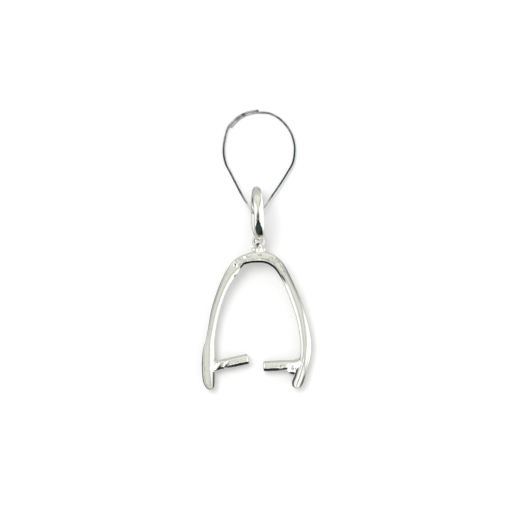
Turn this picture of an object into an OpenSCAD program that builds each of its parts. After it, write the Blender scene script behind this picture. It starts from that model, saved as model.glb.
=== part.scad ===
// Pinch bail for a side-drilled drop: a cast wishbone yoke with two inward pins, an oval
// ring linked through the yoke's eye, and a loop of thin wire threaded through the ring.
// It lies on a surface. Millimetres: X across the yoke, Y from the leaf tips to the wire
// loop, Z up, with the origin on the surface under the middle of the part.

/* [Bail ring] */
// Length of the oval ring
ring_length = 5.5; // [5:0.05:6.5]
// Height of the oval ring, which stands on its edge
ring_height = 3.9; // [3.6:0.1:4.8]
// Dip of the ring's eye end, in degrees
ring_dip = 12; // [0:1:16]
// Width of the band at its widest
band_width = 1.04; // [0.8:0.02:1.2]
// Width of the band inside the eye
band_eye_width = 0.5; // [0.4:0.02:0.54]
// Thickness of the band, away from the eye
band_thickness = 0.54; // [0.4:0.02:0.7]
// Thickness of the band inside the eye
band_eye_thickness = 0.36; // [0.3:0.02:0.36]
// Lean of the ring to the right, in degrees
ring_lean = 4.2; // [0:0.1:8]
// Turn of the ring as seen from above, in degrees
ring_turn = 3; // [0:0.1:6]

/* [Eye] */
// Width of the hole in the eye
eye_hole = 0.94; // [0.92:0.02:1.04]
// Thickness of the eye's own wire
eye_wire = 0.18; // [0.16:0.01:0.22]
// Diameter of the middle lump of solder that holds the eye on the crown
solder_diameter = 0.95; // [0.8:0.05:1]

/* [Yoke] */
// Depth of the legs, from their back to their face
leg_depth = 1.1; // [0.8:0.05:1.4]
// Depth of the leaf tips
leaf_depth = 1.5; // [1.1:0.05:1.8]
// Depth of the crown
crown_depth = 1.25; // [1:0.05:1.5]
// Slope of the bevels beside the flat of the face, as a part of the depth
bevel = 0.4; // [0:0.05:0.6]

/* [Pins] */
// Diameter of both pins
pin_diameter = 0.98; // [0.8:0.02:1.1]
// Length of the left pin that stands clear of its leaf
left_pin_length = 3.45; // [2.6:0.05:3.6]
// Rise of the left pin towards its tip, in degrees
left_pin_rise = 12.5; // [0:0.5:15]
// Length of the right pin that stands clear of its leaf
right_pin_length = 3.4; // [2.8:0.05:3.6]
// Fall of the right pin towards its tip, in degrees
right_pin_fall = 2.5; // [0:0.5:6]
// Diameter of the flare at the pins' roots
flare_diameter = 1.4; // [1.1:0.05:1.5]
// Length of the flare that stands clear of the leaf
flare_length = 0.5; // [0.4:0.05:0.8]

/* [Wire loop] */
// Diameter of the wire
wire_diameter = 0.19; // [0.15:0.01:0.25]
// Space between the wire and the ring that it rests in
wire_gap = 0.1; // [0.08:0.01:0.2]

/* [Hidden] */

SILVER = [0.86, 0.86, 0.83];
DARK_WIRE = [0.08, 0.12, 0.11];

// Points in one section of each sweep, and how finely each table row is divided
RING_SIDES = 12;
RING_STATIONS = 60;
YOKE_SIDES = 20;
YOKE_STEPS = 3;
WIRE_SIDES = 8;
WIRE_STEPS = 4;

// Columns of the yoke's table: place seen from above, width across, depth, and where the
// flat of the face begins and ends (-1 inner edge, 1 outer edge)
X = 0;
Y = 1;
WIDE = 2;
DEEP = 3;
FLAT_IN = 4;
FLAT_OUT = 5;

// The yoke from the left leaf's tip over the crown to the right leaf's tip
YOKE = [
    [-4.58, -13.94, 0.16, 0.15 * leaf_depth, -0.3, 0.6],
    [-4.62, -13.78, 0.56, 0.45 * leaf_depth, -0.3, 0.6],
    [-4.73, -13.43, 0.88, 0.72 * leaf_depth, -0.3, 0.6],
    [-4.80, -12.90, 1.13, 0.90 * leaf_depth, -0.3, 0.6],
    [-4.80, -12.00, 1.27, leaf_depth, -0.3, 0.6],
    [-4.79, -11.00, 1.28, leaf_depth, -0.3, 0.6],
    [-4.74, -10.00, 1.18, 0.93 * leaf_depth, -0.2, 0.65],
    [-4.63, -9.20, 0.90, leg_depth, -0.05, 0.75],
    [-4.45, -8.00, 0.78, leg_depth, -0.1, 0.8],
    [-4.09, -6.00, 0.79, leg_depth, -0.3, 0.8],
    [-3.42, -4.00, 0.84, leg_depth, -0.3, 0.8],
    [-2.74, -2.60, 0.95, leg_depth, -0.1, 0.7],
    [-1.98, -1.62, 1.12, crown_depth, -0.2, 0.5],
    [-1.36, -1.12, 1.02, 0.94 * crown_depth, -0.4, 0.5],
    [-0.55, -0.82, 1.08, crown_depth, -0.5, 0.5],
    [0.25, -0.76, 1.10, crown_depth, -0.5, 0.6],
    [1.00, -0.82, 1.16, crown_depth, -0.5, 0.6],
    [1.65, -1.13, 1.10, 0.97 * crown_depth, -0.4, 0.7],
    [2.30, -1.74, 0.98, leg_depth, -0.2, 0.7],
    [3.08, -3.00, 0.88, leg_depth, 0.0, 0.7],
    [3.95, -5.10, 0.98, leg_depth, -0.2, 0.5],
    [4.56, -7.03, 1.00, leg_depth, -0.2, 0.4],
    [4.93, -9.00, 1.06, leg_depth, -0.5, 0.0],
    [4.93, -10.40, 1.05, 0.85 * leaf_depth, -0.5, -0.1],
    [4.64, -11.60, 1.02, 0.96 * leaf_depth, -0.5, 0.0],
    [4.28, -12.70, 1.00, 0.96 * leaf_depth, -0.5, 0.2],
    [4.12, -13.25, 0.98, 0.80 * leaf_depth, -0.5, 0.3],
    [4.04, -13.58, 0.72, 0.55 * leaf_depth, -0.5, 0.3],
    [4.01, -13.74, 0.20, 0.18 * leaf_depth, -0.5, 0.3],
];

// How square the shoulders of the face are: 2 is round, and more is squarer
SHOULDER = 4;

// Column of the wire's table: how far the two lapped ends widen it, in wire diameters
LAP = 2;

// The wire loop seen from above, once round from its low end inside the ring
WIRE = [
    [0.05, 3.50, 0.0],
    [-0.45, 3.84, 0.0],
    [-0.94, 4.62, 0.0],
    [-1.62, 5.80, 0.0],
    [-2.60, 7.72, 0.0],
    [-3.08, 8.67, 0.0],
    [-3.29, 9.90, 0.0],
    [-3.14, 11.20, 0.0],
    [-2.66, 12.35, 0.1],
    [-1.72, 13.27, 0.6],
    [-0.68, 13.74, 0.4],
    [0.20, 13.87, 0.0],
    [1.35, 13.68, 0.0],
    [2.45, 13.05, 0.0],
    [3.38, 11.92, 0.0],
    [3.80, 10.67, 0.0],
    [3.83, 9.67, 0.0],
    [3.64, 8.67, 0.0],
    [3.08, 7.67, 0.0],
    [2.46, 6.67, 0.0],
    [1.48, 5.24, 0.0],
    [0.68, 4.04, 0.0],
];

// Places of the pins' roots inside the leaves, seen from above, and how far across the
// inner faces of the leaves are, where the pins come out
LEFT_PIN_ROOT = [-4.6, -11.75];
RIGHT_PIN_ROOT = [4.55, -11.5];
LEFT_LEAF_FACE = -4.15;
RIGHT_LEAF_FACE = 4.1;

// Steepest and flattest slant of the yoke that is tried, in degrees, and how many halvings
// find the one at which its leaf tips just rest on the surface
SLANTS = [15, 2];
HALVINGS = 24;

// Columns of the ring's table: how far the band's width and thickness have grown from their
// sizes in the eye to their largest
GROW_WIDE = 0;
GROW_THICK = 1;

// Half the ring, with a row every 30 degrees from its far end to the eye, as they are seen
// from above; the other half is the same
RING_ROW_TURN = 30;
RING = [
    [0.45, 1.0],
    [0.58, 1.0],
    [0.90, 1.0],
    [0.90, 0.9],
    [1.0, 0.8],
    [0.50, 0.4],
    [0.0, 0.0],
];

// How much flatter the inside of the band is than a round one: 1 is round, 0 is flat
INSIDE_ROUND = 0.6;

// Place of the ring seen from above: its middle across, and its end in the eye
ring_x = 0.12;
ring_end_y = 0.87;

// Half the length and height of the dipped ring, and how far, in degrees round the oval, its
// end as seen from above lies before the end of the oval itself
half_long = ring_length / 2;
half_high = ring_height / 2;
reach_y = norm([half_long * cos(ring_dip), half_high * sin(ring_dip)]);
reach_z = norm([half_long * sin(ring_dip), half_high * cos(ring_dip)]);
lag = atan(half_high * tan(ring_dip) / half_long);
ring_y = ring_end_y + reach_y;

// Space left between the inside of the ring and the eye that it pulls on
EYE_SLACK = 0.06;

wire_r = wire_diameter / 2;
eye_r = (eye_hole + eye_wire) / 2;

// A smooth curve through four rows of numbers, from the second row to the third
function between(a, b, c, d, t) =
    0.5 * (2 * b + (c - a) * t + (2 * a - 5 * b + 4 * c - d) * t * t
    + (3 * b - a - 3 * c + d) * t * t * t);

// The rows of an open table, and of a closed one, with the given steps between them
function smooth_open(rows, steps) =
    let (last = len(rows) - 1)
    [for (i = [0 : last - 1], s = [0 : steps - 1])
        between(rows[max(i - 1, 0)], rows[i], rows[i + 1], rows[min(i + 2, last)], s / steps),
        rows[last]];
function smooth_closed(rows, steps) =
    let (n = len(rows))
    [for (i = [0 : n - 1], s = [0 : steps - 1])
        between(rows[(i + n - 1) % n], rows[i], rows[(i + 1) % n], rows[(i + 2) % n], s / steps)];

// The plan direction of travel at row i
function heading(rows, i, closed) =
    let (n = len(rows),
        a = closed ? (i + n - 1) % n : max(i - 1, 0),
        b = closed ? (i + 1) % n : min(i + 1, n - 1),
        d = [rows[b][X] - rows[a][X], rows[b][Y] - rows[a][Y]])
    d / norm(d);

// A solid through sections that all have the same number of points
module skin(sections, closed) {
    n = len(sections[0]);
    m = len(sections);
    spans = closed ? m : m - 1;
    sides = [for (i = [0 : spans - 1], k = [0 : n - 1])
        let (a = i * n + k, b = i * n + (k + 1) % n,
            c = ((i + 1) % m) * n + (k + 1) % n, d = ((i + 1) % m) * n + k)
        each [[a, c, b], [a, d, c]]];
    caps = closed ? [] : [
        [for (k = [0 : n - 1]) k],
        [for (k = [0 : n - 1]) m * n - 1 - k]];
    polyhedron([for (s = sections) each s], concat(sides, caps));
}

// The ring, in its own upright plane with its middle at the origin
function ring_row(i) = RING[i < 0 ? -i : i > len(RING) - 1 ? 2 * (len(RING) - 1) - i : i];
function growth(turn) =
    let (past = (turn + lag) % 360,
        place = (past > 180 ? 360 - past : past) / RING_ROW_TURN,
        i = floor(place))
    between(ring_row(i - 1), ring_row(i), ring_row(i + 1), ring_row(i + 2), place - i);
function band_wide(turn) =
    band_eye_width + (band_width - band_eye_width) * growth(turn)[GROW_WIDE];
function band_thick(turn) =
    band_eye_thickness + (band_thickness - band_eye_thickness) * growth(turn)[GROW_THICK];
function ring_section(turn) =
    let (edge = [half_long * cos(turn), half_high * sin(turn)],
        steep = [half_high * cos(turn), half_long * sin(turn)],
        out = steep / norm(steep))
    [for (k = [0 : RING_SIDES - 1])
        let (a = 360 * k / RING_SIDES,
            rise = sin(a) > 0 ? sin(a) : -pow(-sin(a), INSIDE_ROUND),
            p = edge + out * band_thick(turn) * (rise - 1) / 2)
        [band_wide(turn) / 2 * cos(a), p[0], p[1]]];
ring_sections = [for (i = [0 : RING_STATIONS - 1]) ring_section(360 * i / RING_STATIONS)];
ring_middle = -min([for (s = ring_sections, p = s)
    (p[1] * sin(ring_dip) + p[2] * cos(ring_dip)) * cos(ring_lean) - p[0] * sin(ring_lean)]);

// The eye sits round the narrow end of the ring, which dips below the ring's middle
eye_drop = half_long * cos(lag) * sin(ring_dip) - half_high * sin(lag) * cos(ring_dip);
eye_x = ring_x + (reach_y - band_eye_thickness / 2) * sin(ring_turn) - eye_drop * sin(ring_lean);
eye_y = ring_end_y + band_eye_thickness + EYE_SLACK - eye_hole / 2;
eye_z = ring_middle - eye_drop;

// The yoke's sections, level, with the eye at the origin
yoke_rows = smooth_open(YOKE, YOKE_STEPS);
function yoke_section(i) =
    let (row = yoke_rows[i], go = heading(yoke_rows, i, false), out = [-go[1], go[0]])
    [for (k = [0 : YOKE_SIDES - 1])
        let (a = 360 * k / YOKE_SIDES,
            across = cos(a),
            past_flat = max(across - row[FLAT_OUT], row[FLAT_IN] - across, 0),
            face = pow(1 - pow(abs(across), SHOULDER), 1 / SHOULDER) * (1 - bevel * past_flat),
            up = sin(a) > 0 ? face : sin(a))
        [row[X] - eye_x + out[0] * across * row[WIDE] / 2,
            row[Y] - eye_y + out[1] * across * row[WIDE] / 2, up * row[DEEP] / 2]];
yoke_sections = [for (i = [0 : len(yoke_rows) - 1]) yoke_section(i)];

// The yoke slants from the eye, which the ring holds up, down to its leaf tips
function lowest(slant) =
    eye_z + min([for (s = yoke_sections, p = s) p[1] * tan(slant) + p[2] * cos(slant)]);
function settled(steep, flat, tries) =
    let (slant = (steep + flat) / 2)
    tries == 0 ? slant
    : lowest(slant) > 0 ? settled(steep, slant, tries - 1)
    : settled(slant, flat, tries - 1);
yoke_slant = settled(SLANTS[0], SLANTS[1], HALVINGS);
function stretched(p) = [p[0], p[1] / cos(yoke_slant), p[2]];

// The wire rests inside the ring at one end and on the surface at the other
wire_rows = smooth_closed(WIRE, WIRE_STEPS);
wire_far = max([for (r = wire_rows) r[Y]]);
wire_near = min([for (r = wire_rows) r[Y]]);
wire_high = ring_middle - reach_z + band_thick(270) + wire_gap + wire_r;
function wire_section(i) =
    let (row = wire_rows[i], go = heading(wire_rows, i, true),
        up = wire_r + (wire_high - wire_r) * (wire_far - row[Y]) / (wire_far - wire_near))
    [for (k = [0 : WIRE_SIDES - 1])
        let (a = 360 * (k + 0.5) / WIRE_SIDES, across = wire_r * (1 + row[LAP]) * cos(a))
        [row[X] - go[1] * across, row[Y] + go[0] * across, up + wire_r * sin(a)]];

// A pin whose root is buried in its leaf, pointing along its own axis, with its flare
module pin(root, turn, buried, clear) {
    translate([root[0] - eye_x, (root[1] - eye_y) / cos(yoke_slant), 0])
        rotate([0, 90, turn]) {
            cylinder(d = pin_diameter, h = buried + clear, $fn = 64);
            cylinder(d1 = flare_diameter, d2 = pin_diameter, h = buried + flare_length, $fn = 64);
        }
}

// The eye, with the lumps of solder under it: a large one between two half as large
module eye() {
    rotate_extrude($fn = 64) translate([eye_r, 0]) circle(d = eye_wire, $fn = 32);
    translate([0, -eye_r - solder_diameter / 3, 0]) sphere(d = solder_diameter, $fn = 32);
    for (side = [-1, 1])
        translate([side * solder_diameter / 2, -eye_r - solder_diameter / 4, 0])
            sphere(d = solder_diameter / 2, $fn = 32);
}

// The cast yoke with its two pins and the eye soldered to its crown
module yoke() {
    color(SILVER)
    translate([eye_x, eye_y, eye_z]) rotate([yoke_slant, 0, 0]) {
        skin([for (s = yoke_sections) [for (p = s) stretched(p)]], false);
        eye();
        pin(LEFT_PIN_ROOT, left_pin_rise,
            (LEFT_LEAF_FACE - LEFT_PIN_ROOT[0]) / cos(left_pin_rise), left_pin_length);
        pin(RIGHT_PIN_ROOT, 180 + right_pin_fall,
            (RIGHT_PIN_ROOT[0] - RIGHT_LEAF_FACE) / cos(right_pin_fall), right_pin_length);
    }
}

// The tapered oval ring, standing on its edge
module bail_ring() {
    color(SILVER)
    translate([ring_x, ring_y, ring_middle]) rotate([0, ring_lean, ring_turn])
        rotate([ring_dip, 0, 0]) skin(ring_sections, true);
}

// The loop of thin wire with its lapped ends
module wire_loop() {
    color(DARK_WIRE) skin([for (i = [0 : len(wire_rows) - 1]) wire_section(i)], true);
}

wire_loop();
bail_ring();
yoke();
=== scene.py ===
import math

import bmesh
import bpy
from mathutils import Matrix, Vector, kdtree


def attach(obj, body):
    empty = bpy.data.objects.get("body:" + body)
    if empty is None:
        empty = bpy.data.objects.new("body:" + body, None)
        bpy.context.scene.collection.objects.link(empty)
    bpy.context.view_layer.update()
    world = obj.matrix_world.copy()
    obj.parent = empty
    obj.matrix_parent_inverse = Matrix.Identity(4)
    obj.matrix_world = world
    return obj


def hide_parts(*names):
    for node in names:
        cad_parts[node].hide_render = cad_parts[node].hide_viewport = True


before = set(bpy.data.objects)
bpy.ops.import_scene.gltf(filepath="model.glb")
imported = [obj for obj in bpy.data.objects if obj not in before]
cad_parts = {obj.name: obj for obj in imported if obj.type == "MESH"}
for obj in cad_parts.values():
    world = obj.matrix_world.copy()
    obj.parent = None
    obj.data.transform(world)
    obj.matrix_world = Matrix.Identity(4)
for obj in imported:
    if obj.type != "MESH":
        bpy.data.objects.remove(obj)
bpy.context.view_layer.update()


# The yoke: one lost-wax casting of sterling silver. A bowed crown runs down into two legs with a flat
# face between bevels, and they end in leaf-shaped tips that grip the drop from both sides. It is
# tumbled and polished, so its edges are soft and its crown stays a little rough.

MM = 0.001

LEG_ABOVE = 0.55
LEG_BELOW = 0.55
LEAF_ABOVE = 0.72
LEAF_BELOW = 0.75
CROWN_ABOVE = 0.62
CROWN_BELOW = 0.62
BEVEL = 0.4
SHOULDER = 9.0
GROOVES = 3.0
# The painted dark reflection at the edges and along each bevel's line, and the painted shade in the
# grooves:
# how wide it is at an edge and along a bevel's line, in mm, how dark the line is, how dark a groove is
# for its depth, and how fast it sets in above the middle
EDGE_WIDE = 0.17
LINE_WIDE = 0.07
LINE_DARK = 0.45
GROOVE_DARK = 25.0
SET_IN = 10.0

# Each row is one section of the casting, in mm, from the left leaf's tip over the crown to the right
# leaf's tip: where it lies from above, how wide it is, how far it goes above and below its middle,
# where its flat begins and ends from the inner edge at -1 to the outer edge at 1, how far the flat
# bulges, how dark its inner and outer edges are painted as painted dark reflection, its file grooves
# and its roughness.
YOKE_COLUMNS = ("x", "y", "wide", "above", "below", "flat_in", "flat_out", "bulge",
                "dark_in", "dark_out", "groove", "rough")
YOKE_ROWS = (
    (-4.53, -13.94, 0.26, 0.97 * LEAF_ABOVE, 0.15 * LEAF_BELOW, -0.3, 1.0, 0.0, 1.2, 0.8, 0.0, 0.01),
    (-4.57, -13.78, 0.74, 0.98 * LEAF_ABOVE, 0.45 * LEAF_BELOW, -0.3, 1.0, 0.0, 1.6, 0.9, 0.0, 0.02),
    (-4.67, -13.43, 1.02, 0.99 * LEAF_ABOVE, 0.72 * LEAF_BELOW, -0.35, 1.0, 0.0, 1.9, 1.0, 0.0, 0.02),
    (-4.76, -12.90, 1.20, LEAF_ABOVE, 0.90 * LEAF_BELOW, -0.35, 1.0, 0.0, 1.9, 1.0, 0.0, 0.02),
    (-4.80, -12.00, 1.27, LEAF_ABOVE, LEAF_BELOW, -0.25, 1.0, 0.0, 1.2, 1.0, 0.0, 0.02),
    (-4.79, -11.00, 1.28, LEAF_ABOVE, LEAF_BELOW, -0.2, 1.0, 0.0, 0.3, 1.0, 0.0, 0.02),
    (-4.74, -10.00, 1.18, 0.93 * LEAF_ABOVE, 0.93 * LEAF_BELOW, -0.15, 1.0, 0.0, 0.1, 0.6, 0.0, 0.02),
    (-4.63, -9.20, 0.90, 0.60, LEG_BELOW, 0.0, 1.0, 0.0, 0.0, 0.4, 0.0, 0.02),
    (-4.45, -8.00, 0.80, 0.58, LEG_BELOW, -0.05, 1.0, 0.0, 0.0, 0.6, 0.0, 0.02),
    (-4.07, -6.00, 0.83, LEG_ABOVE, LEG_BELOW, -0.2, 1.0, 0.0, 0.0, 0.8, 0.0, 0.02),
    (-3.40, -4.00, 0.88, 0.56, LEG_BELOW, -0.25, 1.0, 0.0, 0.0, 0.8, 0.0, 0.02),
    (-2.70, -2.62, 1.04, 0.58, LEG_BELOW, -0.25, 1.0, 0.0, 0.0, 0.6, 0.0, 0.02),
    (-2.35, -2.10, 1.10, 0.59, LEG_BELOW, -0.35, 1.0, 0.0, 0.0, 0.5, 0.0, 0.01),
    (-2.01, -1.59, 1.06, 0.60, CROWN_BELOW, -0.6, 1.1, 0.03, 0.0, 0.2, 0.0, 0.03),
    (-1.70, -1.30, 1.00, 0.60, CROWN_BELOW, -0.66, 1.2, 0.09, 3.0, 0.1, 0.0, 0.05),
    (-1.37, -1.06, 0.92, 0.60, 0.94 * CROWN_BELOW, -0.66, 1.2, 0.12, 5.0, 0.0, 0.0, 0.07),
    (-0.56, -0.80, 1.04, CROWN_ABOVE, CROWN_BELOW, -0.66, 1.2, 0.13, 4.5, 0.0, 0.0, 0.06),
    (0.25, -0.74, 1.08, CROWN_ABOVE, CROWN_BELOW, -0.66, 1.2, 0.13, 4.5, 0.0, 0.0, 0.05),
    (1.00, -0.80, 1.12, CROWN_ABOVE, CROWN_BELOW, -0.64, 1.2, 0.13, 5.0, 0.0, 0.0, 0.05),
    (1.67, -1.10, 1.08, 0.97 * CROWN_ABOVE, 0.97 * CROWN_BELOW, -0.62, 1.1, 0.10, 5.0, 0.1, 0.0, 0.03),
    (2.33, -1.72, 1.00, 0.58, LEG_BELOW, -0.55, 0.8, 0.05, 4.0, 0.9, 0.0, 0.02),
    (3.07, -3.02, 0.90, LEG_ABOVE, LEG_BELOW, -0.2, 0.8, 0.0, 0.0, 1.0, 0.0, 0.02),
    (3.95, -5.10, 0.98, LEG_ABOVE, LEG_BELOW, -0.25, 0.85, 0.0, 0.0, 0.7, 0.0, 0.02),
    (4.56, -7.03, 1.00, LEG_ABOVE, LEG_BELOW, -0.35, 0.42, 0.0, 0.0, 0.1, 0.0, 0.02),
    (4.93, -9.00, 1.08, 0.58, LEG_BELOW, -0.48, 0.15, 0.0, 0.0, 0.0, 0.0, 0.02),
    (4.93, -10.40, 1.05, 0.64, 0.64, -0.5, 0.0, 0.0, 0.0, 0.0, 0.005, 0.02),
    (4.66, -11.60, 1.02, 0.68, 0.72, -0.5, 0.35, 0.0, 1.2, 0.3, 0.02, 0.02),
    (4.34, -12.70, 1.04, 0.70, 0.72, -0.6, 0.9, 0.0, 1.8, 1.2, 0.03, 0.02),
    (4.12, -13.25, 1.06, 0.70, 0.60, -0.6, 0.9, 0.0, 1.9, 1.2, 0.03, 0.02),
    (4.00, -13.60, 0.84, 0.69, 0.41, -0.6, 0.7, 0.0, 1.9, 0.6, 0.01, 0.02),
    (3.98, -13.76, 0.30, 0.68, 0.13, -0.5, 0.7, 0.0, 1.2, 0.3, 0.0, 0.01),
)


def node(tree, kind, inputs, **settings):
    """A new node, with its settings and with inputs that are values or other nodes' results."""
    made = tree.nodes.new(kind)
    for name, value in settings.items():
        setattr(made, name, value)
    for name, value in inputs.items():
        if isinstance(value, bpy.types.NodeSocket):
            tree.links.new(value, made.inputs[name])
        else:
            made.inputs[name].default_value = value
    return made


def calc(tree, work, *values):
    """The result of a sum done by one Math node."""
    return node(tree, "ShaderNodeMath", dict(enumerate(values)), operation=work).outputs[0]


def vector(tree, work, *values):
    """The result of a sum done by one Vector Math node."""
    made = tree.nodes.new("ShaderNodeVectorMath")
    made.operation = work
    for value in values:
        socket = made.inputs["Scale"] if value.type == "VALUE" else made.inputs[values.index(value)]
        tree.links.new(value, socket)
    return made.outputs[0]


def sweep_tree(name, columns, sizes, section):
    """A tree that sweeps a section along a smooth path whose points carry the columns' sizes."""
    tree = bpy.data.node_groups.new(name, "GeometryNodeTree")
    sockets = {"Path": "Geometry", "Metal": "Material", "Steps": "Int", "Sides": "Int", "Seed": "Float"}
    sockets |= {size: "Float" for size in ("Grain", *sizes)}
    for label, kind in sockets.items():
        tree.interface.new_socket(label, in_out="INPUT", socket_type="NodeSocket" + kind)
    tree.interface.new_socket("Mesh", in_out="OUTPUT", socket_type="NodeSocketGeometry")
    given = tree.nodes.new("NodeGroupInput").outputs

    path = node(tree, "GeometryNodeMeshToCurve", {"Mesh": given["Path"]})
    path = node(tree, "GeometryNodeCurveSplineType", {"Curve": path.outputs[0]},
                spline_type="CATMULL_ROM")
    path = node(tree, "GeometryNodeSetSplineResolution",
                {"Geometry": path.outputs[0], "Resolution": given["Steps"]})
    path = node(tree, "GeometryNodeResampleCurve", {"Curve": path.outputs[0]}, mode="EVALUATED")
    place = node(tree, "GeometryNodeInputPosition", {}).outputs[0]
    kept = tree.nodes.new("GeometryNodeCaptureAttribute")
    kept.capture_items.new("VECTOR", "place")
    kept.capture_items.new("VECTOR", "along")
    tree.links.new(path.outputs[0], kept.inputs["Geometry"])
    tree.links.new(place, kept.inputs["place"])
    tree.links.new(node(tree, "GeometryNodeInputTangent", {}).outputs[0], kept.inputs["along"])

    circle = node(tree, "GeometryNodeCurvePrimitiveCircle",
                  {"Resolution": given["Sides"], "Radius": 1.0})
    turned = tree.nodes.new("GeometryNodeCaptureAttribute")
    turned.capture_items.new("VECTOR", "round")
    tree.links.new(circle.outputs[0], turned.inputs["Geometry"])
    tree.links.new(place, turned.inputs["round"])

    solid = node(tree, "GeometryNodeCurveToMesh", {
        "Curve": kept.outputs["Geometry"], "Profile Curve": turned.outputs["Geometry"],
        "Fill Caps": True})
    row = {column: node(tree, "GeometryNodeInputNamedAttribute", {"Name": column},
                        data_type="FLOAT").outputs[0] for column in columns}
    around = node(tree, "ShaderNodeSeparateXYZ", {"Vector": turned.outputs["round"]}).outputs
    sideways, upwards, painted_light_and_shade = section(tree, given, row, around["X"], around["Y"])
    up = node(tree, "ShaderNodeCombineXYZ", {"Z": 1.0}).outputs[0]
    side = vector(tree, "NORMALIZE", vector(tree, "CROSS_PRODUCT", up, kept.outputs["along"]))
    shift = vector(tree, "ADD", vector(tree, "SCALE", side, sideways),
                   vector(tree, "SCALE", up, upwards))
    solid = node(tree, "GeometryNodeSetPosition", {
        "Geometry": solid.outputs[0],
        "Position": vector(tree, "ADD", kept.outputs["place"], shift)})
    # Stores the painted light and shade that the section gives, which the material lays over the colour
    solid = node(tree, "GeometryNodeStoreNamedAttribute", {
        "Geometry": solid.outputs[0], "Name": "painted_light_and_shade", "Value": painted_light_and_shade}, data_type="FLOAT")

    # The unevenness of cast or drawn metal pushes the surface in and out along its normal
    grain = node(tree, "ShaderNodeTexNoise",
                 {"W": given["Seed"], "Scale": given["Grain"], "Detail": 2.0}, noise_dimensions="4D")
    push = calc(tree, "MULTIPLY", calc(tree, "SUBTRACT", grain.outputs["Fac"], 0.5), row["rough"])
    normal = node(tree, "GeometryNodeInputNormal", {}).outputs["Normal"]
    solid = node(tree, "GeometryNodeSetPosition", {
        "Geometry": solid.outputs[0], "Offset": vector(tree, "SCALE", normal, push)})

    solid = node(tree, "GeometryNodeSetShadeSmooth", {"Geometry": solid.outputs[0]})
    solid = node(tree, "GeometryNodeRealizeInstances", {"Geometry": solid.outputs[0]})
    solid = node(tree, "GeometryNodeSetMaterial",
                 {"Geometry": solid.outputs[0], "Material": given["Metal"]})
    node(tree, "NodeGroupOutput", {"Mesh": solid.outputs[0]})
    return tree


def swept(name, tree, columns, rows, closed, sizes):
    """A plain mesh object, made by the tree along the rows. The first two columns are the place."""
    path = bpy.data.meshes.new(name)
    spans = len(rows) if closed else len(rows) - 1
    high = columns.index("z") if "z" in columns else None
    points = [(row[0], row[1], 0.0 if high is None else row[high]) for row in rows]
    path.from_pydata(points, [(i, (i + 1) % len(rows)) for i in range(spans)], [])
    for place, column in enumerate(columns):
        sizes_here = path.attributes.new(column, "FLOAT", "POINT")
        sizes_here.data.foreach_set("value", [row[place] for row in rows])
    piece = bpy.data.objects.new(name, path)
    bpy.context.scene.collection.objects.link(piece)
    sweep = piece.modifiers.new("sweep", "NODES")
    sweep.node_group = tree
    for socket in tree.interface.items_tree:
        if socket.in_out == "INPUT" and socket.name in sizes:
            sweep[socket.identifier] = sizes[socket.name]
    ready = piece.evaluated_get(bpy.context.evaluated_depsgraph_get())
    mesh = bpy.data.meshes.new_from_object(ready)
    piece.modifiers.clear()
    piece.data = mesh
    for column in columns:
        mesh.attributes.remove(mesh.attributes[column])
    shell = bmesh.new()
    shell.from_mesh(mesh)
    bmesh.ops.recalc_face_normals(shell, faces=shell.faces)
    shell.to_mesh(mesh)
    shell.free()
    return piece


def laid_over(tree, under, over, share):
    """The colour over laid on the colour under, by share."""
    mix = node(tree, "ShaderNodeMix", {"Factor": share}, data_type="RGBA")
    for place, colour in (("A", under), ("B", over)):
        socket = [one for one in mix.inputs if one.name == place and one.type == "RGBA"][0]
        if isinstance(colour, tuple):
            socket.default_value = (*colour, 1.0)
        else:
            tree.links.new(colour, socket)
    return [one for one in mix.outputs if one.type == "RGBA"][0]


# The silver, its faint clouding, and the near black of the painted dark reflection and shade
SILVER = (0.96, 0.955, 0.93)
CLOUDED = (0.85, 0.85, 0.80)
PAINTED_DARK = (0.06, 0.065, 0.06)


def cast_silver(name, roughness, grain, relief):
    """Polished sterling silver with faint clouding, soft unevenness, and painted dark reflection and
    shade in places.
    """
    metal = bpy.data.materials.new(name)
    metal.use_nodes = True
    tree = metal.node_tree
    shader = tree.nodes["Principled BSDF"]
    place = node(tree, "ShaderNodeTexCoord", {}).outputs["Object"]
    cloud = node(tree, "ShaderNodeTexNoise", {"Vector": place, "Scale": grain, "Detail": 3.0})
    painted_amount = node(tree, "ShaderNodeAttribute", {}, attribute_name="painted_light_and_shade").outputs["Fac"]
    colour = laid_over(tree, SILVER, CLOUDED, cloud.outputs["Fac"])
    # Painted dark reflection and shade, laid over the silver by the painted_light_and_shade attribute
    tree.links.new(laid_over(tree, colour, PAINTED_DARK, painted_amount), shader.inputs["Base Color"])
    wear = node(tree, "ShaderNodeMapRange", {
        "Value": cloud.outputs["Fac"], "To Min": roughness * 0.6, "To Max": roughness * 1.4})
    tree.links.new(wear.outputs["Result"], shader.inputs["Roughness"])
    ripple = node(tree, "ShaderNodeTexNoise", {"Vector": place, "Scale": grain * 3.0, "Detail": 2.0})
    bump = node(tree, "ShaderNodeBump", {
        "Height": ripple.outputs["Fac"], "Distance": relief, "Strength": 1.0})
    tree.links.new(bump.outputs["Normal"], shader.inputs["Normal"])
    shader.inputs["Metallic"].default_value = 1.0
    return metal


yoke_silver = cast_silver("cast_silver", roughness=0.10, grain=900.0, relief=0.010 * MM)


def blur(tree, gap, wide):
    """1 where the gap is nothing, falling softly to 0 past the width."""
    part = calc(tree, "DIVIDE", gap, wide)
    return calc(tree, "EXPONENT", calc(tree, "MULTIPLY", calc(tree, "MULTIPLY", part, part), -1.0))


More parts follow.
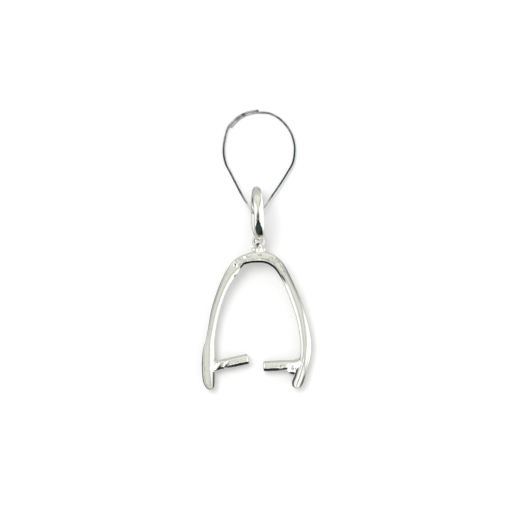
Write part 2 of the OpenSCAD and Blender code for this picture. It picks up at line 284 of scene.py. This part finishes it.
def leg_section(tree, given, row, across, rise):
    """A flat face between bevels, with soft shoulders, over a rounded back. Its upper side is painted
    dark: painted reflection at the edges and along the bevels' lines, painted shade in the grooves.
    """
    past_out = calc(tree, "SUBTRACT", across, row["flat_out"])
    past_in = calc(tree, "SUBTRACT", row["flat_in"], across)
    past = calc(tree, "MAXIMUM", calc(tree, "MAXIMUM", past_out, past_in), 0.0)
    bevelled = calc(tree, "SUBTRACT", 1.0, calc(tree, "MULTIPLY", past, given["Bevel"]))
    bulge = calc(tree, "MULTIPLY", calc(tree, "MULTIPLY", across, across), row["bulge"])
    comb = calc(tree, "COSINE", calc(tree, "MULTIPLY", across, math.pi * GROOVES))
    filed = calc(tree, "SUBTRACT", calc(tree, "SUBTRACT", bevelled, bulge),
                 calc(tree, "MULTIPLY", row["groove"], comb))
    far = calc(tree, "POWER", calc(tree, "ABSOLUTE", across), given["Shoulder"])
    shoulder = calc(tree, "POWER", calc(tree, "MAXIMUM", calc(tree, "SUBTRACT", 1.0, far), 0.0),
                    calc(tree, "DIVIDE", 1.0, given["Shoulder"]))
    on_top = calc(tree, "GREATER_THAN", rise, 0.0)
    top = calc(tree, "MULTIPLY", calc(tree, "MULTIPLY", on_top, row["above"]),
               calc(tree, "MULTIPLY", shoulder, filed))
    bottom = calc(tree, "MULTIPLY", calc(tree, "MINIMUM", rise, 0.0), row["below"])

    # Painted dark reflection along the edges and the bevels' lines, and painted shade in the grooves,
    # all only on the upper side
    half = calc(tree, "MULTIPLY", row["wide"], 0.5)
    edge = calc(tree, "MULTIPLY", calc(tree, "SUBTRACT", 1.0, calc(tree, "ABSOLUTE", across)), half)
    outer = calc(tree, "GREATER_THAN", across, 0.0)
    dark = calc(tree, "ADD", calc(tree, "MULTIPLY", outer, row["dark_out"]),
                calc(tree, "MULTIPLY", calc(tree, "SUBTRACT", 1.0, outer), row["dark_in"]))
    painted_light_and_shade = calc(tree, "MULTIPLY", dark, blur(tree, edge, EDGE_WIDE))
    for past_line in (past_in, past_out):
        line = blur(tree, calc(tree, "MULTIPLY", past_line, half), LINE_WIDE)
        painted_light_and_shade = calc(tree, "MAXIMUM", painted_light_and_shade, calc(tree, "MULTIPLY", line, given["Line"]))
    # Painted shade in the grooves, darker where a groove is deeper
    groove_shade = calc(tree, "MULTIPLY", calc(tree, "MULTIPLY", row["groove"], GROOVE_DARK),
                calc(tree, "MAXIMUM", comb, 0.0))
    painted_light_and_shade = calc(tree, "MAXIMUM", painted_light_and_shade, groove_shade)
    upper = calc(tree, "MULTIPLY", calc(tree, "MAXIMUM", rise, 0.0), SET_IN)
    painted_light_and_shade = calc(tree, "MULTIPLY", painted_light_and_shade, calc(tree, "MINIMUM", upper, 1.0))
    return calc(tree, "MULTIPLY", across, half), calc(tree, "ADD", top, bottom), painted_light_and_shade


leg_tree = sweep_tree("cast_leg", YOKE_COLUMNS, ("Bevel", "Shoulder", "Line"), leg_section)
yoke = swept("yoke_casting", leg_tree, YOKE_COLUMNS, YOKE_ROWS, False, {
    "Metal": yoke_silver, "Steps": 14, "Sides": 72, "Seed": 4.0, "Grain": 1.6,
    "Bevel": BEVEL, "Shoulder": SHOULDER, "Line": LINE_DARK})


# The pins: two round pegs, one cast on the inside of each leaf, that enter the holes in the sides of
# the drop. Each flares at its root, and the left one keeps the slanting marks of the pliers there.

PIN_RADIUS = 0.51
PIN_SQUARE = 2.7
FLARE_RADIUS = 0.7
FLARE_LONG = 0.5
MARKS_AWAY = 0.75
MARKS_LONG = 0.6
TIP_LONG = 0.07
# How far along the tip, and how thick the pin still is there
TIP_ROWS = ((0.0, 0.985), (0.4, 0.95), (0.75, 0.88), (1.0, 0.76))
PIN_STEP = 0.05

BAR_COLUMNS = ("x", "y", "z", "girth", "notch", "phase", "shade", "rough")


def bar_section(tree, given, row, across, rise):
    """A bar that is round, or squarer where Squareness is over 2, with a notch that winds along it."""
    turn = calc(tree, "ARCTAN2", rise, across)
    wave = calc(tree, "COSINE", calc(tree, "ADD", turn, row["phase"]))
    crest = calc(tree, "POWER", calc(tree, "MAXIMUM", wave, 0.0), 4.0)
    power = given["Squareness"]
    corner = calc(tree, "ADD", calc(tree, "POWER", calc(tree, "ABSOLUTE", across), power),
                  calc(tree, "POWER", calc(tree, "ABSOLUTE", rise), power))
    reach = calc(tree, "POWER", corner, calc(tree, "DIVIDE", -1.0, power))
    cut = calc(tree, "MULTIPLY", reach, calc(
        tree, "SUBTRACT", row["girth"], calc(tree, "MULTIPLY", crest, row["notch"])))
    return calc(tree, "MULTIPLY", across, cut), calc(tree, "MULTIPLY", rise, cut), row["shade"]


bar_tree = sweep_tree("round_bar", BAR_COLUMNS, ("Squareness",), bar_section)


def pin(name, root, turn, leaf_face, clear, notch, notch_turns):
    """A pin from its root inside the leaf, past the leaf's face, to its softly rounded tip."""
    buried = (leaf_face - root[0]) / math.cos(turn)
    length = buried + clear
    rows = []
    for step in range(round(length / PIN_STEP) + 1):
        along = min(step * PIN_STEP, length - TIP_LONG)
        flare = max(0.0, 1 - along / (buried + FLARE_LONG))
        fade = math.exp(-((along - buried - MARKS_AWAY) / MARKS_LONG) ** 2)
        rows.append((root[0] + along * math.cos(turn), root[1] + along * math.sin(turn), 0.0,
                     PIN_RADIUS + (FLARE_RADIUS - PIN_RADIUS) * flare ** 1.5,
                     notch * fade, math.tau * notch_turns * along, 0.0, 0.03))
    rows = rows[:-1]
    for past, shrink in TIP_ROWS:
        along = length - TIP_LONG * (1 - past)
        rows.append((root[0] + along * math.cos(turn), root[1] + along * math.sin(turn), 0.0,
                     PIN_RADIUS * shrink, 0.0, 0.0, 0.0, 0.01))
    return swept(name, bar_tree, BAR_COLUMNS, rows, False, {
        "Metal": yoke_silver, "Steps": 1, "Sides": 64, "Seed": 7.0, "Grain": 1.7,
        "Squareness": PIN_SQUARE})


left_pin = pin("left_pin", (-4.6, -11.75), math.radians(12.5), leaf_face=-4.15, clear=3.45,
               notch=0.2, notch_turns=1.1)
right_pin = pin("right_pin", (4.55, -11.5), math.radians(182.5), leaf_face=4.1, clear=3.4,
                notch=0.05, notch_turns=0.6)


def lump(name, x, y, z, radius, flat=1.0):
    """A drop of silver, round or flattened."""
    ball = bmesh.new()
    bmesh.ops.create_icosphere(ball, subdivisions=4, radius=radius,
                               matrix=Matrix.Translation((x, y, z)) @ Matrix.Diagonal((1, 1, flat, 1)))
    mesh = bpy.data.meshes.new(name)
    ball.to_mesh(mesh)
    ball.free()
    mesh.materials.append(yoke_silver)
    piece = bpy.data.objects.new(name, mesh)
    bpy.context.scene.collection.objects.link(piece)
    return piece


# The metal has run out flat between the right pin and its leaf
right_web = lump("right_web", 3.66, -11.82, 0.34, 0.64, flat=0.25)


# The eye: a small closed ring of thin silver wire, soldered flat to the back of the crown. The solder
# has run into a few lumps at its foot, and the oval ring hangs in it.

EYE_PLACE = (0.2324, 0.82)
EYE_RADIUS = 0.56
EYE_THIN = 0.09
EYE_THICK = 0.19
# The whole eye is painted a little darker, as painted shade under the ring
EYE_SHADE = 0.16
EYE_ROWS = 32
SOLDER_WIDE = 0.95
# Each lump from the middle of the eye, in mm: to the right, to the back, up, and its radius
SOLDER_LUMPS = (
    (0.0, -EYE_RADIUS - SOLDER_WIDE / 3, 0.0, SOLDER_WIDE / 2),
    (-SOLDER_WIDE / 2, -EYE_RADIUS - SOLDER_WIDE / 4, 0.0, SOLDER_WIDE / 4),
    (SOLDER_WIDE / 2, -EYE_RADIUS - SOLDER_WIDE / 4, 0.05, SOLDER_WIDE / 4),
    (0.0, -0.38, 0.0, 0.26),
)

eye_rows = []
for step in range(EYE_ROWS):
    turn = math.tau * step / EYE_ROWS
    # Thin at the back, where the ring hangs, and thick with solder at the foot
    foot = (1 - math.sin(turn)) / 2
    girth = EYE_THIN + (EYE_THICK - EYE_THIN) * foot
    inward = EYE_RADIUS - (girth - EYE_THIN)
    eye_rows.append((EYE_PLACE[0] + inward * math.cos(turn), EYE_PLACE[1] + inward * math.sin(turn),
                     0.0, girth, 0.0, 0.0, EYE_SHADE, 0.03))
eye = swept("eye", bar_tree, BAR_COLUMNS, eye_rows, True, {
    "Metal": yoke_silver, "Steps": 3, "Sides": 20, "Seed": 3.0, "Grain": 4.0, "Squareness": 2.0})
lumps = [lump(f"solder_{count}", EYE_PLACE[0] + x, EYE_PLACE[1] + y, z, radius)
         for count, (x, y, z, radius) in enumerate(SOLDER_LUMPS)]


def fused(body, parts):
    """Makes the parts one skin with the body, as cast and soldered metal is."""
    for part in parts:
        union = body.modifiers.new(part.name, "BOOLEAN")
        union.operation = "UNION"
        union.solver = "MANIFOLD"
        union.object = part
    ready = body.evaluated_get(bpy.context.evaluated_depsgraph_get())
    mesh = bpy.data.meshes.new_from_object(ready)
    body.modifiers.clear()
    body.data = mesh
    for part in parts:
        bpy.data.objects.remove(part)


def soften_seams(mesh, sliver, crease, reach, pull, passes):
    """Rounds the metal within reach of each hollow corner, where parts are joined."""
    shell = bmesh.new()
    shell.from_mesh(mesh)
    bmesh.ops.remove_doubles(shell, verts=shell.verts, dist=sliver)
    bmesh.ops.triangulate(shell, faces=shell.faces)
    # Where a sliver closes up, it leaves two faces back to back
    same = {}
    for face in shell.faces:
        same.setdefault(frozenset(face.verts), []).append(face)
    flaps = [face for faces in same.values() if len(faces) > 1 for face in faces]
    bmesh.ops.delete(shell, geom=flaps, context="FACES")
    seam = [edge for edge in shell.edges
            if edge.is_manifold and edge.calc_face_angle_signed(0.0) < -crease]
    places = [(edge.verts[0].co + edge.verts[1].co) / 2 for edge in seam]
    near = kdtree.KDTree(len(places))
    for count, place in enumerate(places):
        near.insert(place, count)
    near.balance()
    soft = []
    for vert in shell.verts:
        gap = near.find(vert.co)[2]
        if gap < reach:
            soft.append((vert, pull * (1 - gap / reach)))
    for _ in range(passes):
        moved = []
        for vert, share in soft:
            around = [edge.other_vert(vert).co for edge in vert.link_edges]
            middle = sum(around, Vector()) / len(around)
            moved.append(vert.co.lerp(middle, share))
        for (vert, _), place in zip(soft, moved):
            vert.co = place
    for face in shell.faces:
        face.smooth = True
    bmesh.ops.recalc_face_normals(shell, faces=shell.faces)
    shell.to_mesh(mesh)
    shell.free()


fused(yoke, [left_pin, right_pin, right_web, eye, *lumps])
soften_seams(yoke.data, sliver=0.002, crease=math.radians(25), reach=0.22, pull=0.6, passes=12)

# Marks that the mould and the bench left on the upper side, in mm: place from above, size across,
# and how deep each is pressed in
BENCH_MARKS = (
    (-2.08, -1.58, 0.14, 0.10),
    (2.45, -11.62, 0.16, 0.06),
)

for vertex, up in zip(yoke.data.vertices, [one.normal.z for one in yoke.data.vertices]):
    for x, y, size, deep in BENCH_MARKS:
        away = math.hypot(vertex.co.x - x, vertex.co.y - y) / size
        vertex.co.z -= deep * math.exp(-away * away) * max(up, 0.0)


def paint_dark_marks(mesh, marks):
    """Lays painted dark reflection and shade on the upper side: place from above, half length, half
    width, turn, strength.
    """
    painted_light_and_shade = mesh.attributes["painted_light_and_shade"].data
    for vertex, painted_amount in zip(mesh.vertices, painted_light_and_shade):
        if vertex.normal.z <= 0:
            continue
        for x, y, long, wide, turn, strength in marks:
            aside = Vector((vertex.co.x - x, vertex.co.y - y))
            aside.rotate(Matrix.Rotation(-math.radians(turn), 2))
            away = math.hypot(aside.x / long, aside.y / wide)
            painted_amount.value = max(painted_amount.value, strength * math.exp(-away * away))


# In mm and degrees, painted shade and dark reflection: shade in the dimple on the crown, the dark
# reflected line down its right shoulder, shade in the plier marks and dark reflection on the underside
# of the left pin, shade in the nick and dark reflection on the underside and tip of the right one, and
# shade in the eye's gaps
paint_dark_marks(yoke.data, (
    (-2.10, -1.62, 0.13, 0.09, 60, 0.5),
    (2.68, -2.78, 0.65, 0.12, -59, 1.2),
    (-3.70, -11.72, 0.30, 0.11, 50, 1.3),
    (-3.00, -11.58, 0.32, 0.11, 50, 1.3),
    (-1.70, -11.56, 0.75, 0.12, 12.5, 1.5),
    (-0.90, -11.34, 0.25, 0.14, 12.5, 1.5),
    (2.45, -11.60, 0.24, 0.12, 10, 0.7),
    (1.60, -12.06, 0.80, 0.11, 2.5, 1.5),
    (0.85, -12.02, 0.18, 0.18, 0, 1.4),
    (-0.18, 0.85, 0.25, 0.08, 90, 1.0),
    (0.14, 0.52, 0.22, 0.16, 60, 1.3),
))

# The eye end is held up by the ring, and the yoke slants from there until its leaves touch the table
YOKE_SLANT = math.radians(4.1719)
EYE_HIGH = 1.7043
to_eye = Matrix.Translation((-EYE_PLACE[0], -EYE_PLACE[1], 0))
stretch = Matrix.Scale(1 / math.cos(YOKE_SLANT), 4, (0, 1, 0))
slant = Matrix.Translation((*EYE_PLACE, EYE_HIGH)) @ Matrix.Rotation(YOKE_SLANT, 4, "X")
yoke.data.transform(Matrix.Scale(MM, 4) @ slant @ stretch @ to_eye)
yoke.name = "cast_yoke"
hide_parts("yoke")
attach(yoke, "root")


# The oval ring: a closed link cast in the same silver, which a chain runs through. Its band is domed
# outside and flatter inside, broad along its middle and narrow where it runs through the eye.

RING_LONG = 5.5 / 2
RING_HIGH = 3.9 / 2
BAND_WIDE = (0.5, 1.04)
BAND_THICK = (0.36, 0.54)
RING_DIP = math.radians(12)
RING_LEAN = math.radians(4.2)
RING_TURN = math.radians(3)
RING_PLACE = (0.12, 3.5903, 1.9854)
INSIDE_ROUND = 0.6

# How far the band has grown from its size in the eye to its largest, in even steps from the far end to
# the eye: in width and in thickness
BAND_GROWTH = ((0.45, 1.0), (0.58, 1.0), (0.90, 1.0), (0.90, 0.9), (1.0, 0.8), (0.50, 0.4), (0.0, 0.0))
RING_ROWS = 72
RING_COLUMNS = ("x", "y", "wide", "thick", "shade", "rough")
RING_LOW_SHADE = 0.16


def between(a, b, c, d, part):
    """The smooth curve through four values, from the second to the third."""
    return 0.5 * (2 * b + (c - a) * part + (2 * a - 5 * b + 4 * c - d) * part ** 2
                  + (3 * b - a - 3 * c + d) * part ** 3)


def band_size(turn, column, smallest, largest):
    """The band's width or thickness at a turn round the ring from its far end."""
    lag = math.atan(RING_HIGH * math.tan(RING_DIP) / RING_LONG)
    past = (turn + lag) % math.tau
    last = len(BAND_GROWTH) - 1
    place = min(past, math.tau - past) * last / math.pi
    first = int(place)
    rows = [BAND_GROWTH[min(abs(i), 2 * last - abs(i))][column] for i in range(first - 1, first + 3)]
    return smallest + (largest - smallest) * between(*rows, place - first)


def band_section(tree, given, row, across, rise):
    """A band that is domed outside and flatter inside. Its outside lies on the path."""
    dome = calc(tree, "MAXIMUM", rise, 0.0)
    inside = calc(tree, "POWER", calc(tree, "MAXIMUM", calc(tree, "MULTIPLY", rise, -1.0), 0.0),
                  given["Inside round"])
    level = calc(tree, "SUBTRACT", calc(tree, "SUBTRACT", dome, inside), 1.0)
    out = calc(tree, "MULTIPLY", calc(tree, "MULTIPLY", level, row["thick"]), -0.5)
    lateral = calc(tree, "MULTIPLY", calc(tree, "MULTIPLY", across, row["wide"]), 0.5)
    return out, lateral, row["shade"]


ring_rows = []
for step in range(RING_ROWS):
    turn = math.tau * step / RING_ROWS
    # The lower half is painted darker, as painted shade near the table
    low_shade = RING_LOW_SHADE * min(max(-2 * math.sin(turn), 0.0), 1.0)
    ring_rows.append((RING_LONG * math.cos(turn), RING_HIGH * math.sin(turn),
                      band_size(turn, 0, *BAND_WIDE), band_size(turn, 1, *BAND_THICK), low_shade, 0.02))
ring_silver = cast_silver("ring_silver", roughness=0.08, grain=700.0, relief=0.006 * MM)
band_tree = sweep_tree("ring_band", RING_COLUMNS, ("Inside round",), band_section)
ring = swept("oval_ring", band_tree, RING_COLUMNS, ring_rows, True, {
    "Metal": ring_silver, "Steps": 4, "Sides": 40, "Seed": 2.0, "Grain": 1.5,
    "Inside round": INSIDE_ROUND})

# The ring is made flat, then stood on its edge, dipped towards the eye, and leant to the right
upright = Matrix(((0, 0, 1, 0), (1, 0, 0, 0), (0, 1, 0, 0), (0, 0, 0, 1)))
lean = (Matrix.Rotation(RING_TURN, 4, "Z") @ Matrix.Rotation(RING_LEAN, 4, "Y")
        @ Matrix.Rotation(RING_DIP, 4, "X"))
ring.data.transform(Matrix.Translation(RING_PLACE) @ lean @ upright)
# In mm and degrees, painted dark reflection: the dark streak down its middle to its foot in the eye,
# and the faint dark lines round the flat over its far end
paint_dark_marks(ring.data, (
    (0.17, 3.24, 0.50, 0.14, 90, 1.2),
    (0.16, 2.88, 0.30, 0.17, 90, 1.2),
    (0.52, 1.62, 0.28, 0.13, -75, 1.2),
    (-0.10, 4.80, 0.60, 0.07, -74, 0.5),
    (0.38, 4.70, 0.50, 0.07, -104, 0.5),
    (-0.33, 5.85, 0.35, 0.07, 65, 0.4),
    (0.42, 5.85, 0.35, 0.07, -60, 0.4),
))
ring.data.transform(Matrix.Scale(MM, 4))
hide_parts("bail_ring")
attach(ring, "root")


# The wire loop: one length of thin dark coated wire, threaded through the oval ring and bent round
# into a pear shape. Its two ends lie side by side at the upper left. Over the top and the upper left a
# painted highlight lightens it, and near and inside the ring a painted reflection of the ring lightens
# it.

WIRE_RADIUS = 0.095
# How high its middle is in the ring, and how far back the high and the low end of its slope are
WIRE_HIGH = 0.7168
WIRE_NEAR = 3.5
WIRE_FAR = 13.87

# The loop from above, in mm, from its near end inside the ring, clockwise, with how much painted
# highlight and painted reflection lighten it there
WIRE_PLACES = (
    (0.05, 3.50, 1.0), (-0.45, 3.84, 1.0), (-0.94, 4.62, 0.7), (-1.62, 5.80, 0.1), (-2.60, 7.72, 0.1),
    (-3.08, 8.67, 0.05), (-3.29, 9.90, 0.05), (-3.14, 11.20, 0.2), (-2.66, 12.35, 0.4),
    (-1.72, 13.27, 0.5), (-0.68, 13.74, 0.5), (0.20, 13.87, 0.35), (1.35, 13.68, 0.25),
    (2.45, 13.05, 0.25), (3.38, 11.92, 0.15), (3.80, 10.67, 0.05), (3.83, 9.67, 0.0),
    (3.64, 8.67, 0.0), (3.08, 7.67, 0.05), (2.46, 6.67, 0.05), (1.48, 5.24, 0.3), (0.68, 4.04, 1.0),
)
# The rows between which the two ends lie side by side, and how far each lies off the loop
LAP_FIRST = 8
LAP_LAST = 11
LAP_OFF = 1.1 * WIRE_RADIUS

once_round = len(WIRE_PLACES)
wire_rows = []
for step in range(LAP_FIRST, LAP_LAST + once_round + 1):
    x, y, highlight = WIRE_PLACES[step % once_round]
    before = Vector(WIRE_PLACES[(step - 1) % once_round][:2])
    after = Vector(WIRE_PLACES[(step + 1) % once_round][:2])
    ahead = (after - before).normalized()
    off = 0.0
    if step <= LAP_LAST:
        off = -LAP_OFF
    if step >= LAP_FIRST + once_round:
        off = LAP_OFF
    x -= ahead.y * off
    y += ahead.x * off
    rise = max((WIRE_FAR - y) / (WIRE_FAR - WIRE_NEAR), 0.0)
    wire_rows.append((x, y, WIRE_RADIUS + (WIRE_HIGH - WIRE_RADIUS) * rise,
                      WIRE_RADIUS, 0.0, 0.0, highlight, 0.01))

# The coat's own dark colour, and the grey of the painted highlight and reflection laid over it
COAT = (0.004, 0.024, 0.018)
PAINTED_HIGHLIGHT = (0.66, 0.66, 0.63)
wire_coat = bpy.data.materials.new("dark_wire_coat")
wire_coat.use_nodes = True
tree = wire_coat.node_tree
shader = tree.nodes["Principled BSDF"]
place = node(tree, "ShaderNodeTexCoord", {}).outputs["Object"]
highlight_noise = node(tree, "ShaderNodeTexNoise", {"Vector": place, "Scale": 1500.0, "Detail": 3.0})
highlight = node(tree, "ShaderNodeAttribute", {}, attribute_name="painted_light_and_shade").outputs["Fac"]
# The painted highlight is broken into patches, so the noise is made sharper
sharp_noise = calc(tree, "MULTIPLY_ADD", highlight_noise.outputs["Fac"], 4.0, -1.0)
patchy = calc(tree, "MULTIPLY", highlight, sharp_noise)
tree.links.new(laid_over(tree, COAT, PAINTED_HIGHLIGHT, patchy), shader.inputs["Base Color"])
shader.inputs["Roughness"].default_value = 0.4
shader.inputs["Specular IOR Level"].default_value = 0.35

wire = swept("wire_loop_coated", bar_tree, BAR_COLUMNS, wire_rows, False, {
    "Metal": wire_coat, "Steps": 8, "Sides": 14, "Seed": 5.0, "Grain": 1.0, "Squareness": 2.0})
wire.data.transform(Matrix.Scale(MM, 4))
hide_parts("wire_loop")
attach(wire, "root")


# The table: a plain sheet of matt pale paper that the finding lies on. It isn't part of the finding,
# and it is big enough to fill every view.

TABLE_SIZE = 4.0
PAPER = (0.92, 0.92, 0.92)

sheet = bpy.data.meshes.new("table")
half = TABLE_SIZE / 2
corners = [(-half, -half, 0), (half, -half, 0), (half, half, 0), (-half, half, 0)]
sheet.from_pydata(corners, [], [(0, 1, 2, 3)])
table = bpy.data.objects.new("table", sheet)
bpy.context.scene.collection.objects.link(table)
paper = bpy.data.materials.new("pale_paper")
paper.use_nodes = True
shader = paper.node_tree.nodes["Principled BSDF"]
shader.inputs["Base Color"].default_value = (*PAPER, 1.0)
shader.inputs["Roughness"].default_value = 1.0
shader.inputs["Specular IOR Level"].default_value = 0.0
sheet.materials.append(paper)
table.visible_glossy = False


# The light: a white soft box on each side, a pale wall behind, a dark room in front, and a broad lamp
# from the upper left that throws the soft shadows. The metal mirrors all of it.

BOX = (1.25, 1.25, 1.24)
OVERHEAD = (0.81, 0.81, 0.76)
WALL_HIGH = (0.88, 0.88, 0.82)
WALL_LOW = (0.62, 0.62, 0.58)
ROOM = (0.045, 0.058, 0.052)
SEAM = (0.30, 0.30, 0.27)
FLOOR = (0.60, 0.60, 0.57)
AMBIENT = (0.84, 0.84, 0.84)
BACKDROP = (1.0, 1.0, 1.0)
# In degrees: half the size of the soft box overhead, and how far back its middle is
CAP_SIZE = (7.0, 11.0)
CAP_BACK = -4.0
# Where the wall and the room have their points, how wide they spread, and which way they open
WALL = (6, -3, 38, 1)
DARK_ROOM = (-1, -28, 62, -1)
TABLE_LEAN = 0.3
LAMP_POWER = 1.25
LAMP_WIDE = math.radians(30)
LAMP_WAY = (0.32, -0.36, -1.0)

studio = bpy.data.worlds.new("studio")
bpy.context.scene.world = studio
studio.use_nodes = True
tree = studio.node_tree
sight = node(tree, "ShaderNodeTexCoord", {}).outputs["Generated"]
toward = node(tree, "ShaderNodeSeparateXYZ", {"Vector": sight}).outputs

# Each direction is laid flat: its angle from overhead, in degrees, split into right and back
level = calc(tree, "SQRT", calc(tree, "ADD", calc(tree, "MULTIPLY", toward["X"], toward["X"]),
                                calc(tree, "MULTIPLY", toward["Y"], toward["Y"])))
steep = calc(tree, "MULTIPLY", calc(tree, "ARCCOSINE", toward["Z"]), math.degrees(1))
part = calc(tree, "DIVIDE", steep, calc(tree, "MAXIMUM", level, 0.0001))
right = calc(tree, "MULTIPLY", toward["X"], part)
back = calc(tree, "MULTIPLY", toward["Y"], part)


def zone(value, start, end):
    """0 before start and 1 past end, with a soft edge."""
    return node(tree, "ShaderNodeMapRange", {"Value": value, "From Min": start, "From Max": end},
                interpolation_type="SMOOTHSTEP").outputs["Result"]


def wedge(apex_right, apex_back, spread, way):
    """How far a direction lies inside a wedge that opens to the back, or to the front if way is -1."""
    beside = calc(tree, "ABSOLUTE", calc(tree, "SUBTRACT", right, apex_right))
    ahead = calc(tree, "MULTIPLY", calc(tree, "SUBTRACT", back, apex_back), way)
    return calc(tree, "SUBTRACT", calc(tree, "MULTIPLY", ahead, math.sin(math.radians(spread))),
                calc(tree, "MULTIPLY", beside, math.cos(math.radians(spread))))


across_cap = calc(tree, "DIVIDE", right, CAP_SIZE[0])
along_cap = calc(tree, "DIVIDE", calc(tree, "SUBTRACT", back, CAP_BACK), CAP_SIZE[1])
cap = calc(tree, "SUBTRACT", 1.0, calc(tree, "SQRT", calc(
    tree, "ADD", calc(tree, "MULTIPLY", across_cap, across_cap),
    calc(tree, "MULTIPLY", along_cap, along_cap))))
cap = calc(tree, "MULTIPLY", cap, CAP_SIZE[0])
pale = calc(tree, "MAXIMUM", wedge(*WALL), cap)
lit_wall = laid_over(tree, WALL_HIGH, WALL_LOW, zone(steep, 45, 75))
lit_wall = laid_over(tree, lit_wall, OVERHEAD, zone(cap, -1, 2))
sky = laid_over(tree, BOX, SEAM, zone(pale, -4.5, -1.5))
sky = laid_over(tree, sky, lit_wall, zone(pale, -1, 1))
# The table hides more of the studio to the left than to the right
low = calc(tree, "SUBTRACT", steep, calc(tree, "MULTIPLY", right, TABLE_LEAN))
sky = laid_over(tree, sky, FLOOR, zone(low, 84, 94))
dark = calc(tree, "MINIMUM", wedge(*DARK_ROOM), calc(tree, "SUBTRACT", 100.0, low))
sky = laid_over(tree, sky, ROOM, zone(dark, -1, 1))

light = node(tree, "ShaderNodeLightPath", {}).outputs
sky = laid_over(tree, AMBIENT, sky, light["Is Glossy Ray"])
sky = laid_over(tree, sky, BACKDROP, light["Is Camera Ray"])
tree.links.new(sky, tree.nodes["Background"].inputs["Color"])

lamp = bpy.data.lights.new("broad_lamp", "SUN")
lamp.energy = LAMP_POWER
lamp.angle = LAMP_WIDE
key = bpy.data.objects.new("broad_lamp", lamp)
key.rotation_euler = Vector(LAMP_WAY).to_track_quat("-Z", "Y").to_euler()
key.visible_glossy = False
bpy.context.scene.collection.objects.link(key)


# The camera: straight above and far off, on a long lens, as the photograph was taken. Its height
# follows from the lens and the width of the field.

FIELD = 51.2 * MM
LENS = 200.0
FOCUS_HIGH = 1.2 * MM
LOOK_AT = (-0.025 * MM, -0.63 * MM)

view = bpy.data.cameras.new("camera")
view.lens = LENS
camera = bpy.data.objects.new("camera", view)
camera.location = (*LOOK_AT, FIELD * LENS / view.sensor_width + FOCUS_HIGH)
bpy.context.scene.collection.objects.link(camera)
bpy.context.scene.camera = camera
bpy.context.scene.view_settings.view_transform = "Standard"
